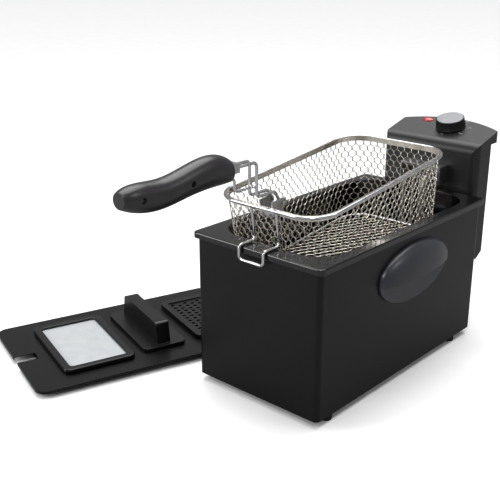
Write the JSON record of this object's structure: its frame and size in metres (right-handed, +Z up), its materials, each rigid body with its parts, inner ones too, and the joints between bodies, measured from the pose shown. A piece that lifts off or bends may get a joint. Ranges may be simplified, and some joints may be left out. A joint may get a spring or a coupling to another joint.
{
  "type": "deep fryer",
  "caption": "Household deep fryer: black housing with enamelled oil pot, lift-off control head, wire basket hung to drain by its folding handle, and a windowed lid laid beside it.",
  "frame": {"origin": "middle of the housing footprint, on the counter that the feet stand on", "axes": "+Z up; -Y towards the end where the basket grip points; +Y towards the control head; +X to the right when seen from the grip end"},
  "size_m": [0.4772, 0.6053, 0.3064],
  "materials": {
    "housing_paint": "black satin paint on steel sheet",
    "base_steel": "plain steel sheet",
    "foot_rubber": "black rubber",
    "screw_steel": "zinc-plated steel",
    "screw_brass": "plain brass",
    "handle_plastic": "dark grey satin plastic",
    "pot_enamel": "glossy black enamel",
    "head_plastic": "fine-grained black plastic",
    "inner_plastic": "plain electrical moulding",
    "lamp_lens": "clear red plastic",
    "lamp_glass": "small neon tube",
    "gland_rubber": "black rubber",
    "element_steel": "heat-tinted stainless sheath",
    "bracket_steel": "satin stainless sheet",
    "knob_plastic": "ribbed black plastic",
    "knob_face": "brushed aluminium disc",
    "button_plastic": "red plastic",
    "mesh_wire": "tinned and nickelled wire mesh",
    "basket_chrome": "polished nickel-chromed wire",
    "grip_plastic": "dark warm-grey satin plastic",
    "lid_paint": "black satin paint on steel sheet",
    "lid_plastic": "black plastic",
    "lid_glass": "clear pane",
    "filter_mesh": "grey fibre filter pad"
  },
  "bodies": {
    "housing": {"housing_shell": "housing_paint", "base_plate": "base_steel", "feet": "foot_rubber", "foot_screws": "screw_steel", "side_handle_left": "handle_plastic", "side_handle_right": "handle_plastic", "side_handle_screws": "screw_steel", "rear_rail": "base_steel", "rail_rivets": "screw_steel"},
    "pot": {"oil_pot": "pot_enamel"},
    "control_head": {"head_front_shell": "head_plastic", "head_rear_cover": "head_plastic", "cover_screws": "screw_steel", "head_top_panel": "head_plastic", "thermostat_body": "inner_plastic", "thermostat_screws": "screw_steel", "pilot_lamp_lens": "lamp_lens", "neon_lamp": "lamp_glass", "head_guide": "handle_plastic", "thermal_cutout": "inner_plastic", "cord_gland": "gland_rubber", "interlock_switch": "inner_plastic", "terminal_block": "inner_plastic", "heating_element": "element_steel", "element_bracket": "bracket_steel", "element_nuts": "screw_brass", "sensor_tube": "element_steel", "sensor_bulb": "element_steel", "sensor_clip": "bracket_steel"},
    "dial": {"thermostat_knob": "knob_plastic", "knob_cap": "knob_face", "thermostat_shaft": "screw_steel"},
    "reset": {"reset_button": "button_plastic"},
    "basket": {"basket_mesh": "mesh_wire", "basket_rim_wire": "basket_chrome", "basket_base_wire": "basket_chrome", "drain_hook": "basket_chrome", "handle_bracket": "bracket_steel"},
    "basket_handle": {"handle_wire_left": "basket_chrome", "handle_wire_right": "basket_chrome", "catch_brace": "basket_chrome", "grip_left": "grip_plastic", "grip_right": "grip_plastic", "grip_screws": "screw_steel", "grip_ferrule": "bracket_steel"},
    "lid": {"lid_plate": "lid_paint", "lid_window_frame": "lid_plastic", "lid_window_glass": "lid_glass", "lid_handle": "lid_plastic", "lid_handle_screws": "screw_steel", "lid_vent_cover": "lid_plastic", "lid_filter": "filter_mesh"}
  },
  "joints": [
    {"name": "pot_lift", "type": "slide", "parent": "housing", "child": "pot", "axis": [0, 0, 1], "range_m": [0, 0.18]},
    {"name": "head_lift", "type": "slide", "parent": "pot", "child": "control_head", "axis": [0, 0, 1], "range_m": [0, 0.07]},
    {"name": "dial_turn", "type": "hinge", "parent": "control_head", "child": "dial", "pos_m": [0.007, 0.225, 0.26236], "axis": [0, 0.2504, -0.9681], "range_deg": [0, 270]},
    {"name": "reset_press", "type": "slide", "parent": "control_head", "child": "reset", "axis": [0, -1, 0], "range_m": [0, 0.002], "stiffness_N_per_m": 800, "springref_m": -0.0003},
    {"name": "basket_lift", "type": "slide", "parent": "pot", "child": "basket", "axis": [0, 0, 1], "range_m": [0, 0.2]},
    {"name": "handle_fold", "type": "hinge", "parent": "basket", "child": "basket_handle", "pos_m": [0, -0.1343, 0.23661], "axis": [-1, 0, 0], "range_deg": [0, 150]},
    {"name": "lid_lift", "type": "slide", "parent": "housing", "child": "lid", "axis": [-0.3, 0, 0.9539], "range_m": [0, 0.2]}
  ]
}
